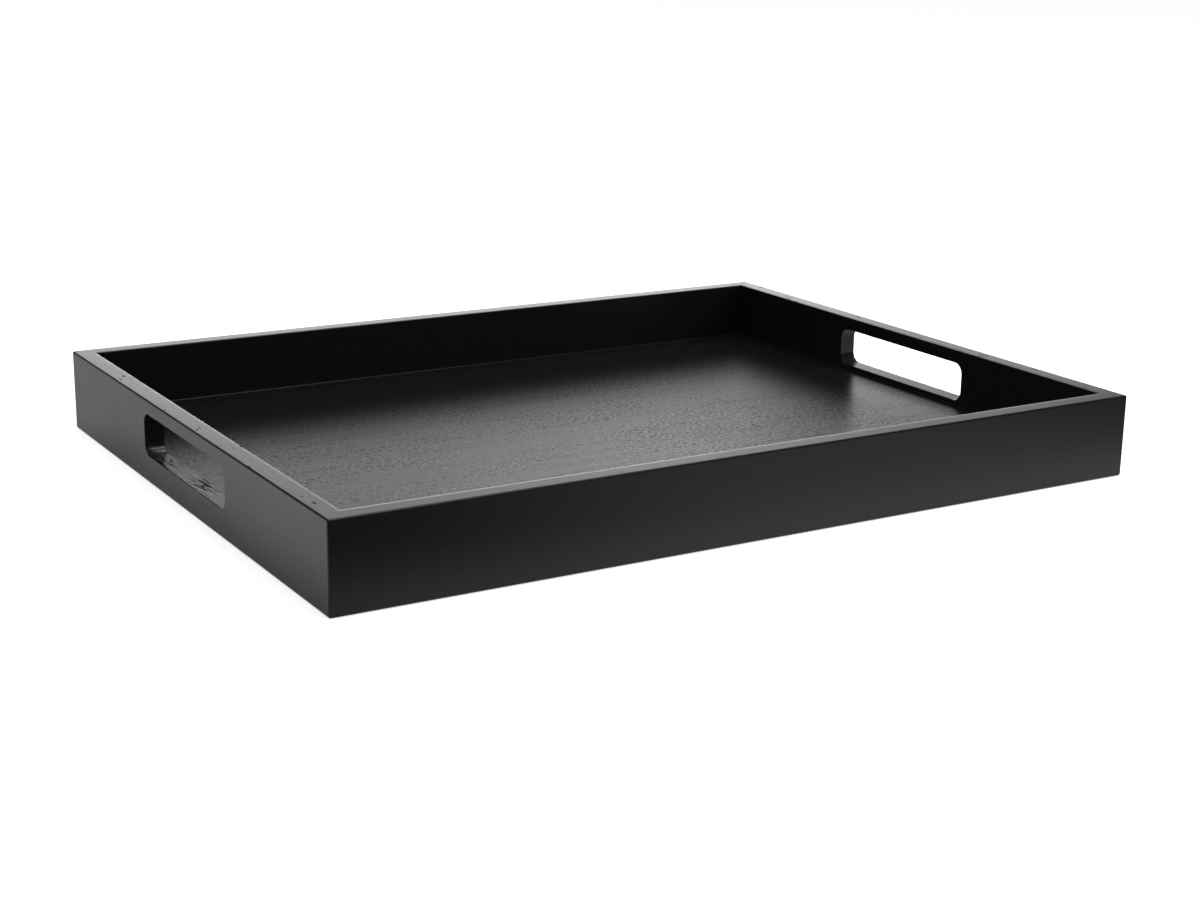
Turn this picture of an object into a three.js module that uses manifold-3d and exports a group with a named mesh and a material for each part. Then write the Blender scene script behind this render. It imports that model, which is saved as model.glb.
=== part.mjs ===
// Butler tray: four mitred wooden rails round a veneered base panel, with a hand slot in each end.
// Millimetres, +Z up. The origin is the middle of the footprint, at table level.
// +X runs along the tray, so the hand slots are in the rails at -X and +X.

import * as THREE from "three";
import { mergeVertices } from "three/addons/utils/BufferGeometryUtils.js";
import Module from "manifold-3d";

// Frame
const TRAY_LENGTH = 520;
const TRAY_WIDTH = 400;
const RAIL_HEIGHT = 50;
const RAIL_THICKNESS = 12;
const ARRIS_RADIUS = 1.2; // eased long edges of the rails
const CORNER_RADIUS = 2; // eased upright corners of the frame

// Base panel: a three-layer board let into a groove round the frame
const PANEL_LIFT = 8; // table to the underside of the panel
const UNDER_VENEER_THICKNESS = 0.6;
const CORE_THICKNESS = 3.6;
const TOP_VENEER_THICKNESS = 0.6;
const LAYER_GLUE_LINE = 0.1; // between the core and a veneer
const GROOVE_DEPTH = 6;
const GROOVE_CLEARANCE = 0.15; // above and below the panel
const PANEL_EDGE_PLAY = 0.5; // panel's edge to the bottom of the groove

// Hand slots
const SLOT_LENGTH = 128;
const GRIP_BAR_HEIGHT = 8.5; // wood above the slot
const SLOT_SILL_HEIGHT = 3.5; // wood between the panel's top face and the slot
const SLOT_CORNER_RADIUS = 7;
const SLOT_ARRIS_RADIUS = 0.8;

// Mitres: each is keyed by a lens-shaped biscuit and cross-pinned with two brads
const MITRE_GLUE_LINE = 0.2;
const BISCUIT_LENGTH = 16;
const BISCUIT_WIDTH = 8;
const BISCUIT_TIP_WIDTH = 1.6;
const BISCUIT_THICKNESS = 2.4;
const BISCUIT_CLEARANCE = 0.25;
const PIN_LENGTH = 25;
const PIN_RADIUS = 0.6;
const PIN_HEAD_RADIUS = 1;
const PIN_HEAD_THICKNESS = 0.8;
const PIN_POINT_LENGTH = 2;
const PIN_SET_DEPTH = 1.5; // filler over a pin's head
const PIN_CLEARANCE = 0.2;
const UPPER_PIN_DROP = 6; // rim to the upper pin

// Facets of round forms
const ROUND_STEPS = 4; // a quarter round of an eased edge or upright corner
const SLOT_CORNER_STEPS = 8;
const BISCUIT_STEPS = 8;
const PIN_SIDES = 12;

const OVERSHOOT = 1; // how far a blank or a cutter runs past the face that it makes
const QUARTER_TURN = Math.PI / 2;
const EIGHTH_TURN = Math.PI / 4;

// Heights above the table that follow from the sizes
const coreLift = PANEL_LIFT + UNDER_VENEER_THICKNESS + LAYER_GLUE_LINE;
const topVeneerLift = coreLift + CORE_THICKNESS + LAYER_GLUE_LINE;
const panelTop = topVeneerLift + TOP_VENEER_THICKNESS;
const grooveBottom = PANEL_LIFT - GROOVE_CLEARANCE;
const grooveTop = panelTop + GROOVE_CLEARANCE;
const slotBottom = panelTop + SLOT_SILL_HEIGHT;
const slotTop = RAIL_HEIGHT - GRIP_BAR_HEIGHT;
const lowerPinHeight = grooveBottom / 2;
const upperPinHeight = RAIL_HEIGHT - UPPER_PIN_DROP;
const biscuitHeight = (grooveTop + upperPinHeight) / 2;

// Finishes
const lacquer = { color: 0x141415, roughness: 0.42, metalness: 0 };
const stainedVeneer = { color: 0x1a1a1a, roughness: 0.4, metalness: 0 };
const coreWood = { color: 0x9b7b55, roughness: 0.8, metalness: 0 };
const beech = { color: 0xc49a6c, roughness: 0.85, metalness: 0 };
const steel = { color: 0x9a9da1, roughness: 0.35, metalness: 1 };

const wasm = await Module();
wasm.setup();

// Shared forms

/** A closed geometry as a solid that can be joined and cut. */
function solidOf(geometry) {
  const bare = geometry.clone();
  bare.deleteAttribute("normal");
  bare.deleteAttribute("uv");
  const merged = mergeVertices(bare);
  const vertProperties = new Float32Array(merged.attributes.position.array);
  const triVerts = new Uint32Array(merged.index.array);
  return new wasm.Manifold(new wasm.Mesh({ numProp: 3, vertProperties, triVerts }));
}

/** A finished solid as a flat-shaded geometry. */
function geometryOf(solid) {
  const { vertProperties, triVerts } = solid.getMesh();
  const shared = new THREE.BufferGeometry();
  shared.setAttribute("position", new THREE.BufferAttribute(vertProperties, 3));
  shared.setIndex(new THREE.BufferAttribute(triVerts, 1));
  const faceted = shared.toNonIndexed();
  faceted.computeVertexNormals();
  return faceted;
}

/** A named piece with a finish of its own. */
function pieceOf(name, geometry, finish) {
  const piece = new THREE.Mesh(geometry, new THREE.MeshStandardMaterial(finish));
  piece.name = name;
  return piece;
}

/** A closed form through convex rings of equal count, counter-clockwise seen from the last ring's end. */
function loft(rings) {
  const count = rings[0].length;
  const last = (rings.length - 1) * count;
  const indices = [];
  for (let near = 0; near < last; near += count) {
    const far = near + count;
    for (let point = 0; point < count; point += 1) {
      const next = (point + 1) % count;
      indices.push(near + point, near + next, far + next);
      indices.push(near + point, far + next, far + point);
    }
  }
  for (let point = 1; point < count - 1; point += 1) {
    indices.push(0, point + 1, point);
    indices.push(last, last + point, last + point + 1);
  }
  const geometry = new THREE.BufferGeometry();
  geometry.setFromPoints(rings.flat());
  geometry.setIndex(indices);
  return geometry;
}

/** Corner points of a rectangle with round corners, counter-clockwise. */
function roundRectangle(left, right, low, high, radius, steps) {
  const centres = [
    [right - radius, high - radius],
    [left + radius, high - radius],
    [left + radius, low + radius],
    [right - radius, low + radius],
  ];
  return centres.flatMap(([x, y], corner) =>
    Array.from({ length: steps + 1 }, (_, step) => {
      const turn = QUARTER_TURN * (corner + step / steps);
      return new THREE.Vector2(x + radius * Math.cos(turn), y + radius * Math.sin(turn));
    }),
  );
}

/** Steps of an eased edge, from the face inwards: depth under the face, and how far the edge is set back. */
function easedEdge(radius) {
  return Array.from({ length: ROUND_STEPS + 1 }, (_, step) => {
    const turn = (QUARTER_TURN * step) / ROUND_STEPS;
    return { depth: radius * (1 - Math.cos(turn)), setBack: radius * (1 - Math.sin(turn)) };
  });
}

// Rails
// A rail's own frame has its origin at the outer corner where the rail starts, at table level.
// There x runs along the outer face, y into the tray and z up, and the next rail starts a quarter turn on.

/** The rail's section run along its length: inner edges eased, and the groove for the base panel. */
function sectionRun(length) {
  const inner = RAIL_THICKNESS;
  const easing = ARRIS_RADIUS;
  const section = new THREE.Shape();
  section.moveTo(-OVERSHOOT, -OVERSHOOT);
  section.lineTo(inner - easing, -OVERSHOOT);
  section.lineTo(inner - easing, 0);
  section.absarc(inner - easing, easing, easing, -QUARTER_TURN, 0, false);
  section.lineTo(inner, grooveBottom);
  section.lineTo(inner - GROOVE_DEPTH, grooveBottom);
  section.lineTo(inner - GROOVE_DEPTH, grooveTop);
  section.lineTo(inner, grooveTop);
  section.lineTo(inner, RAIL_HEIGHT - easing);
  section.absarc(inner - easing, RAIL_HEIGHT - easing, easing, 0, QUARTER_TURN, false);
  section.lineTo(inner - easing, RAIL_HEIGHT + OVERSHOOT);
  section.lineTo(-OVERSHOOT, RAIL_HEIGHT + OVERSHOOT);
  const run = new THREE.ExtrudeGeometry(section, {
    depth: length,
    bevelEnabled: false,
    curveSegments: ROUND_STEPS / 2,
  });
  return run.rotateX(QUARTER_TURN).rotateZ(QUARTER_TURN);
}

/** The wedge that mitres both ends of a rail, half a glue line short of the true mitre. */
function mitreWedge(length) {
  const start = MITRE_GLUE_LINE / Math.SQRT2;
  const end = length - start;
  const outer = -OVERSHOOT;
  const inner = RAIL_THICKNESS + OVERSHOOT;
  const plan = new THREE.Shape();
  plan.moveTo(start + outer, outer);
  plan.lineTo(end - outer, outer);
  plan.lineTo(end - inner, inner);
  plan.lineTo(start + inner, inner);
  const wedge = new THREE.ExtrudeGeometry(plan, { depth: RAIL_HEIGHT + 2 * OVERSHOOT, bevelEnabled: false });
  return wedge.translate(0, 0, -OVERSHOOT);
}

/** The tray's outside as one block, with its corners rounded and its edges eased all the way round. */
function outerBlock(length, width) {
  const ring = (height, setBack) =>
    roundRectangle(
      setBack,
      length - setBack,
      setBack,
      width - setBack,
      CORNER_RADIUS - setBack,
      ROUND_STEPS,
    ).map((point) => new THREE.Vector3(point.x, point.y, height));
  const edge = easedEdge(Math.min(ARRIS_RADIUS, CORNER_RADIUS));
  const lowRings = edge.map(({ depth, setBack }) => ring(depth, setBack));
  const highRings = edge.toReversed().map(({ depth, setBack }) => ring(RAIL_HEIGHT - depth, setBack));
  return loft([...lowRings, ...highRings]);
}

/** The hand slot: straight through the rail, and flared at both faces so that its edges are eased. */
function slotCutter(length) {
  const left = (length - SLOT_LENGTH) / 2;
  const right = left + SLOT_LENGTH;
  const radius = Math.min(SLOT_CORNER_RADIUS, (slotTop - slotBottom) / 2);
  const ring = (y, flare) =>
    roundRectangle(
      left - flare,
      right + flare,
      slotBottom - flare,
      slotTop + flare,
      radius + flare,
      SLOT_CORNER_STEPS,
    ).map((point) => new THREE.Vector3(point.x, y, point.y));
  const edge = [{ depth: -OVERSHOOT, setBack: SLOT_ARRIS_RADIUS }, ...easedEdge(SLOT_ARRIS_RADIUS)];
  const innerRings = edge.map(({ depth, setBack }) => ring(RAIL_THICKNESS - depth, setBack));
  const outerRings = edge.toReversed().map(({ depth, setBack }) => ring(depth, setBack));
  return loft([...innerRings, ...outerRings]);
}

// Corner joints
// A joint's pieces are placed in the frame of the rail that starts at that corner.

/** A biscuit about its own middle, or its pocket: a blunt lens, width along x and length up. */
function biscuit(clearance) {
  const halfLength = BISCUIT_LENGTH / 2 + clearance;
  const halfWidth = BISCUIT_WIDTH / 2 + clearance;
  const bulge = (BISCUIT_WIDTH - BISCUIT_TIP_WIDTH) / 2;
  const thickness = BISCUIT_THICKNESS + 2 * clearance;
  const radius = (halfLength ** 2 + bulge ** 2) / (2 * bulge);
  const sweep = Math.asin(halfLength / radius);
  const outline = new THREE.Shape();
  outline.absarc(halfWidth - radius, 0, radius, -sweep, sweep, false);
  outline.absarc(radius - halfWidth, 0, radius, Math.PI - sweep, Math.PI + sweep, false);
  const lens = new THREE.ExtrudeGeometry(outline, {
    depth: thickness,
    bevelEnabled: false,
    curveSegments: BISCUIT_STEPS / 2,
  });
  return lens.rotateX(QUARTER_TURN).translate(0, thickness / 2, 0);
}

/** A brad pin along y from the top of its head, or its hole. */
function bradPin(clearance) {
  const shank = PIN_RADIUS + clearance;
  const head = PIN_HEAD_RADIUS + clearance;
  const neck = PIN_HEAD_THICKNESS + clearance;
  const profile = [
    new THREE.Vector2(0, -clearance),
    new THREE.Vector2(head, -clearance),
    new THREE.Vector2(head, neck),
    new THREE.Vector2(shank, neck),
    new THREE.Vector2(shank, PIN_LENGTH - PIN_POINT_LENGTH + clearance),
    new THREE.Vector2(0, PIN_LENGTH + clearance),
  ];
  return new THREE.LatheGeometry(profile, PIN_SIDES);
}

const railMiddle = RAIL_THICKNESS / 2;

/** One corner's joint: the biscuit square across the mitre, and a pin through each rail into the other. */
const jointPieces = [
  {
    name: "biscuit",
    form: biscuit,
    clearance: BISCUIT_CLEARANCE,
    position: new THREE.Vector3(railMiddle, railMiddle, biscuitHeight),
    turn: -EIGHTH_TURN,
    finish: beech,
  },
  {
    name: "lower_pin",
    form: bradPin,
    clearance: PIN_CLEARANCE,
    position: new THREE.Vector3(railMiddle, PIN_SET_DEPTH, lowerPinHeight),
    turn: 0,
    finish: steel,
  },
  {
    name: "upper_pin",
    form: bradPin,
    clearance: PIN_CLEARANCE,
    position: new THREE.Vector3(PIN_SET_DEPTH, railMiddle, upperPinHeight),
    turn: -QUARTER_TURN,
    finish: steel,
  },
];

/** A whole rail: mitred section, pockets for the joints at both ends and, in an end rail, the hand slot. */
function rail({ length, width, hasSlot }) {
  const mitred = solidOf(sectionRun(length)).intersect(solidOf(mitreWedge(length)));
  let wood = mitred.intersect(solidOf(outerBlock(length, width)));
  for (const { form, clearance, position, turn } of jointPieces) {
    const pocket = form(clearance).rotateZ(turn).translate(position.x, position.y, position.z);
    const farPocket = pocket.clone().rotateZ(QUARTER_TURN).translate(length, 0, 0);
    wood = wood.subtract(solidOf(pocket)).subtract(solidOf(farPocket));
  }
  if (hasSlot) {
    wood = wood.subtract(solidOf(slotCutter(length)));
  }
  return geometryOf(wood);
}

/** One layer of the base panel, its underside at the given height. */
function panelLayer(lift, thickness) {
  const margin = RAIL_THICKNESS - GROOVE_DEPTH + PANEL_EDGE_PLAY;
  const layer = new THREE.BoxGeometry(TRAY_LENGTH - 2 * margin, TRAY_WIDTH - 2 * margin, thickness);
  return layer.translate(0, 0, lift + thickness / 2);
}

// Assembly

const longSide = { length: TRAY_LENGTH, width: TRAY_WIDTH, hasSlot: false };
const shortSide = { length: TRAY_WIDTH, width: TRAY_LENGTH, hasSlot: true };
const sides = [
  { name: "front_rail", corner: "front_left", x: -1, y: -1, size: longSide },
  { name: "right_end_rail", corner: "front_right", x: 1, y: -1, size: shortSide },
  { name: "back_rail", corner: "back_right", x: 1, y: 1, size: longSide },
  { name: "left_end_rail", corner: "back_left", x: -1, y: 1, size: shortSide },
];

const tray = new THREE.Group();

sides.forEach(({ name, corner, x, y, size }, turns) => {
  const side = new THREE.Group();
  side.position.set((x * TRAY_LENGTH) / 2, (y * TRAY_WIDTH) / 2, 0);
  side.rotation.z = turns * QUARTER_TURN;
  side.add(pieceOf(name, rail(size), lacquer));
  for (const joint of jointPieces) {
    const piece = pieceOf(`${corner}_${joint.name}`, joint.form(0), joint.finish);
    piece.position.copy(joint.position);
    piece.rotation.z = joint.turn;
    side.add(piece);
  }
  tray.add(side);
});

tray.add(
  pieceOf("base_under_veneer", panelLayer(PANEL_LIFT, UNDER_VENEER_THICKNESS), stainedVeneer),
  pieceOf("base_core", panelLayer(coreLift, CORE_THICKNESS), coreWood),
  pieceOf("base_top_veneer", panelLayer(topVeneerLift, TOP_VENEER_THICKNESS), stainedVeneer),
);

export default tray;
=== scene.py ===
"""A butler tray in black lacquer: mitred rails with routed hand slots round an open-pored base panel.

Metres, +Z up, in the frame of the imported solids: the origin is the middle of the footprint at table level,
and +X runs along the tray towards one hand slot.
"""

import logging
import math
from collections.abc import Callable, Iterator, Sequence
from dataclasses import dataclass, replace
from enum import Enum
from functools import reduce

import bmesh
import bpy
from mathutils import Matrix, Vector, noise


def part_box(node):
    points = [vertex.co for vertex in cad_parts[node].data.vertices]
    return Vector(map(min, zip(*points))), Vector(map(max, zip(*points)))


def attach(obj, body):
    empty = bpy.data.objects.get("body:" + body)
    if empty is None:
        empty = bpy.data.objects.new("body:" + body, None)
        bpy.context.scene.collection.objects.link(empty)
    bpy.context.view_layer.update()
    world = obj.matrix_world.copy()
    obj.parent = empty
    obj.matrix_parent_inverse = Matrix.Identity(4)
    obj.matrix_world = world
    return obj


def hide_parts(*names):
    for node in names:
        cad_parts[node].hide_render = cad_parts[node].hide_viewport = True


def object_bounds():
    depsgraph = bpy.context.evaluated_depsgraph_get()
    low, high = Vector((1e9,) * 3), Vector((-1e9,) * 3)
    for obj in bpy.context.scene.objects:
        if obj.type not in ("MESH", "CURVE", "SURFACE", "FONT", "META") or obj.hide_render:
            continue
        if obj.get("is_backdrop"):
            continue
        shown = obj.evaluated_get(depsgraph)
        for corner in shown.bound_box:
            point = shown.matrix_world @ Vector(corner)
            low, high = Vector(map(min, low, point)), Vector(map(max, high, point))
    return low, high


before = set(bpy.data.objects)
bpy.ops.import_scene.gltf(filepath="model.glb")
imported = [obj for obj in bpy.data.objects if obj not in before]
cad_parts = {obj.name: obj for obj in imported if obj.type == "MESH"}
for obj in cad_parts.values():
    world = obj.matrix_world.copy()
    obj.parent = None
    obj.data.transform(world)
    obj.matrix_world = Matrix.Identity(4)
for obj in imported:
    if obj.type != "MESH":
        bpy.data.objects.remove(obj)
CAD_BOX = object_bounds()

LOG = logging.getLogger("butler_tray")

MM = 0.001
QUARTER_TURN = math.pi / 2
EIGHTH_TURN = math.pi / 4
BODY = "root"
ARRIS_ATTRIBUTE = "arris"
SLOT_LINING = 1
NEUTRAL = (1.0, 1.0, 1.0)
LACQUER_TINT = (0.88, 1.02, 1.06)
SHEEN_TINT = (0.96, 0.97, 1.01)
RISING = (0.0, 1.0)
FALLING = (1.0, 0.0)
NOISE_MEAN = 0.5
CLOUD_SPAN = (0.3, 0.7)
# A Mix node has sockets of the same name for each kind of data, so those for colours go by number.
MIX_COLOUR_INPUTS = (0, 6, 7)
MIX_COLOUR_OUTPUT = 2

Pair = tuple[float, float]
Triple = tuple[float, float, float]
Colour = tuple[float, float, float, float]
Material = bpy.types.Material
Thing = bpy.types.Object
Tree = bpy.types.NodeTree
Socket = bpy.types.NodeSocket
Outputs = bpy.types.NodeOutputs
Feed = Socket | float | tuple
Shape = bmesh.types.BMesh
Corner = bmesh.types.BMVert
Line = list[Corner]


def tone(level: float, tint: Triple = NEUTRAL) -> Colour:
    """A colour of that linear level, grey unless it is tinted."""
    red, green, blue = tint
    return (red * level, green * level, blue * level, 1.0)


class Grain(Enum):
    """The direction that the wood's fibres run in, as the order of axes that puts it first."""

    ALONG_X = "XYZ"
    ALONG_Y = "YXZ"
    UPRIGHT = "ZXY"


class PoredFaces(Enum):
    """The faces whose pores show through the lacquer."""

    ALL = "all"
    UPPER = "upper"


@dataclass
class Wiring:
    """Adds and links the nodes of one shader tree."""

    tree: Tree

    @classmethod
    def cleared(cls, owner: Material | bpy.types.World) -> "Wiring":
        """The wiring of a material or a world, without the nodes that it starts with.

        Args:
            owner: The material or the world.

        Returns:
            The empty wiring.
        """
        owner.use_nodes = True
        owner.node_tree.nodes.clear()
        return cls(owner.node_tree)

    def add(
        self, kind: str, *values: Feed, sockets: dict[str | int, Feed] | None = None, **settings: object
    ) -> Outputs:
        """Adds a node.

        Args:
            kind: The node's type, as Blender names it after ShaderNode.
            values: What feeds its first sockets in order, other nodes' sockets or plain values.
            sockets: What feeds other sockets, by their names or numbers.
            settings: The node's own options.

        Returns:
            The new node's outputs.
        """
        node = self.tree.nodes.new(f"ShaderNode{kind}")
        for option, value in settings.items():
            setattr(node, option, value)
        for socket, value in {**dict(enumerate(values)), **(sockets or {})}.items():
            self.feed(node.inputs[socket], value)
        return node.outputs

    def feed(self, target: Socket, value: Feed) -> None:
        """Links a socket to the target, or sets the target to a plain value.

        Args:
            target: The socket that is fed.
            value: Another node's socket or a plain value.
        """
        if isinstance(value, Socket):
            self.tree.links.new(value, target)
        else:
            target.default_value = value

    def effect(self, group: Tree, place: Feed, *numbers: float) -> Outputs:
        """Places a shared group, with the numbers that it takes in their own order."""
        return self.add("Group", place, *numbers, node_tree=group)

    def math(self, operation: str, *values: Feed) -> Socket:
        """One sum, by Blender's name of the operation."""
        return self.add("Math", *values, operation=operation)[0]

    def product(self, *values: Feed) -> Socket:
        """All the values multiplied."""
        return reduce(lambda first, second: self.math("MULTIPLY", first, second), values)

    def total(self, *values: Feed) -> Socket:
        """All the values added up."""
        return reduce(lambda first, second: self.math("ADD", first, second), values)

    def step(self, value: Feed, span: tuple[Feed, Feed], levels: Pair = RISING) -> Socket:
        """A smooth step from the first level to the second, over a span of the value."""
        outputs = self.add("MapRange", value, *span, *levels, interpolation_type="SMOOTHSTEP")
        return outputs["Result"]

    def noise(self, vector: Feed, layers: float, scale: float = 1.0) -> Socket:
        """Cloudy noise from 0 to 1, with finer layers in it, and clouds of one unit unless scaled."""
        return self.add("TexNoise", vector, sockets={"Scale": scale, "Detail": layers})[0]

    def stretched(self, vector: Feed, along: Feed, across: Feed = 1.0) -> Socket:
        """A vector with one scale along the grain and another across it."""
        scales = self.add("CombineXYZ", along, across, across)[0]
        return self.add("VectorMath", vector, scales, operation="MULTIPLY")[0]

    def object_axes(self) -> Outputs:
        """The X, Y and Z of the point on the object."""
        place = self.add("TexCoord")["Object"]
        return self.add("SeparateXYZ", place)

    def grain_place(self, grain: Grain) -> Socket:
        """The point on the object, turned so that the first axis runs along the fibres."""
        axes = self.object_axes()
        return self.add("CombineXYZ", *(axes[axis] for axis in grain.value))[0]

    def blend(self, share: Feed, first: Feed, second: Feed) -> Socket:
        """A mix of two colours, with the given share of the second one."""
        sockets = dict(zip(MIX_COLOUR_INPUTS, (share, first, second)))
        return self.add("Mix", sockets=sockets, data_type="RGBA")[MIX_COLOUR_OUTPUT]

    def relief(self, height: Feed) -> Socket:
        """The normal of a surface with that relief, in metres."""
        return self.add("Bump", sockets={"Strength": 1.0, "Distance": 1.0, "Height": height})["Normal"]

    def surface(self, sockets: dict[str, Feed]) -> None:
        """Ends a material with its Principled shader."""
        shader = self.add("BsdfPrincipled", sockets=sockets)[0]
        self.add("OutputMaterial", shader)


@dataclass(frozen=True)
class Drift:
    """A level that drifts from one end of its range to the other and back, as the clouds of a noise do."""

    scale: float
    layers: float
    span: Pair
    levels: Pair = RISING

    def over(self, wires: Wiring, place: Feed) -> Socket:
        """The level over a surface."""
        return wires.step(wires.noise(place, self.layers, self.scale), self.span, self.levels)


@dataclass
class Effects:
    """The shader node groups that the finishes share, each built once."""

    pore_bands: Drift = Drift(scale=0.08, layers=3.0, span=(0.32, 0.68), levels=(0.5, 1.1))
    pore_clusters: Drift = Drift(scale=0.45, layers=1.0, span=(0.35, 0.65), levels=(0.4, 1.25))
    band_stretch: float = 0.15
    pore_core: float = 0.45
    streak_drifts: Drift = Drift(scale=0.06, layers=2.0, span=(0.35, 0.65), levels=(0.5, 1.2))
    streak_layers: float = 1.0
    clouds: float = 36.0
    cloud_layers: float = 3.0
    cloud_stretch: float = 0.5
    ripple_layers: float = 2.0
    rub_and_highlight_patches: Drift = Drift(scale=120.0, layers=5.0, span=(0.45, 0.75))

    def __post_init__(self) -> None:
        """Builds the groups."""
        self.open_pores = self.make_open_pores()
        self.fibre_streaks = self.make_fibre_streaks()
        self.lacquer_film = self.make_lacquer_film()
        self.rubbed_and_highlit_edges = self.make_rubbed_and_highlit_edges()

    @staticmethod
    def start_group(
        name: str, numbers: Sequence[str], results: Sequence[str]
    ) -> tuple[Wiring, Outputs, bpy.types.NodeInputs]:
        """An empty group that takes a place on the grain and some numbers.

        Args:
            name: The group's name.
            numbers: The names of the numbers that it takes.
            results: The names of the single values that it puts out.

        Returns:
            The group's wiring, what it takes and what it puts out.
        """
        tree = bpy.data.node_groups.new(name, "ShaderNodeTree")
        tree.interface.new_socket(name="Place", in_out="INPUT", socket_type="NodeSocketVector")
        for names, direction in ((numbers, "INPUT"), (results, "OUTPUT")):
            for socket in names:
                tree.interface.new_socket(name=socket, in_out=direction, socket_type="NodeSocketFloat")
        taken, given = (tree.nodes.new(f"NodeGroup{end}") for end in ("Input", "Output"))
        return Wiring(tree), taken.outputs, given.inputs

    def make_open_pores(self) -> Tree:
        """Short open vessels along the grain, in bands of more and fewer.

        Returns:
            A group that puts out a mask, 1 in a pore.
        """
        numbers = ("Along", "Across", "Size", "Share")
        wires, taken, given = self.start_group("open_pores", numbers, ("Pores",))
        spread = wires.stretched(taken["Place"], taken["Along"], taken["Across"])
        cells = wires.add("TexVoronoi", spread, sockets={"Scale": 1.0, "Randomness": 1.0})
        bands = self.pore_bands.over(wires, wires.stretched(spread, self.band_stretch))
        clusters = self.pore_clusters.over(wires, spread)
        reach = wires.product(bands, clusters, taken["Size"])
        mask = wires.step(cells["Distance"], (wires.product(reach, self.pore_core), reach), FALLING)
        draw = wires.add("SeparateColor", cells["Color"])["Red"]
        is_open = wires.math("LESS_THAN", draw, taken["Share"])
        wires.feed(given["Pores"], wires.product(mask, is_open))
        return wires.tree

    def make_fibre_streaks(self) -> Tree:
        """Streaks along the grain, in drifts of stronger and fainter.

        Returns:
            A group that puts out a value that swings about 0.
        """
        wires, taken, given = self.start_group("fibre_streaks", ("Along", "Across"), ("Streak",))
        spread = wires.stretched(taken["Place"], taken["Along"], taken["Across"])
        swing = wires.math("SUBTRACT", wires.noise(spread, self.streak_layers), NOISE_MEAN)
        wires.feed(given["Streak"], wires.product(swing, self.streak_drifts.over(wires, spread)))
        return wires.tree

    def make_lacquer_film(self) -> Tree:
        """The skin of a sprayed lacquer: broad clouds, drawn out along the grain, and fine ripples.

        Returns:
            A group that puts out the clouds and the ripples' height, both from 0 to 1.
        """
        wires, taken, given = self.start_group("lacquer_film", ("Along", "Across"), ("Cloud", "Ripple"))
        drawn_out = wires.stretched(taken["Place"], self.cloud_stretch)
        wires.feed(given["Cloud"], wires.noise(drawn_out, self.cloud_layers, self.clouds))
        spread = wires.stretched(taken["Place"], taken["Along"], taken["Across"])
        wires.feed(given["Ripple"], wires.noise(spread, self.ripple_layers))
        return wires.tree

    def make_rubbed_and_highlit_edges(self) -> Tree:
        """Patches along the eased edges and beads, lighter partly where handling has polished or thinned the
        lacquer and partly as a painted highlight where light catches them.

        Returns:
            A group that puts out a mask, 1 where an edge is rubbed or carries a painted highlight.
        """
        wires, taken, given = self.start_group("rubbed_and_highlit_edges", (), ("Rub and highlight",))
        edge = wires.add("Attribute", attribute_name=ARRIS_ATTRIBUTE)["Fac"]
        wires.feed(given["Rub and highlight"], wires.product(edge, self.rub_and_highlight_patches.over(wires, taken["Place"])))
        return wires.tree


def new_material(name: str) -> tuple[Material, Wiring]:
    """An empty material of that name, and its wiring."""
    material = bpy.data.materials.new(name)
    return material, Wiring.cleared(material)


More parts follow.
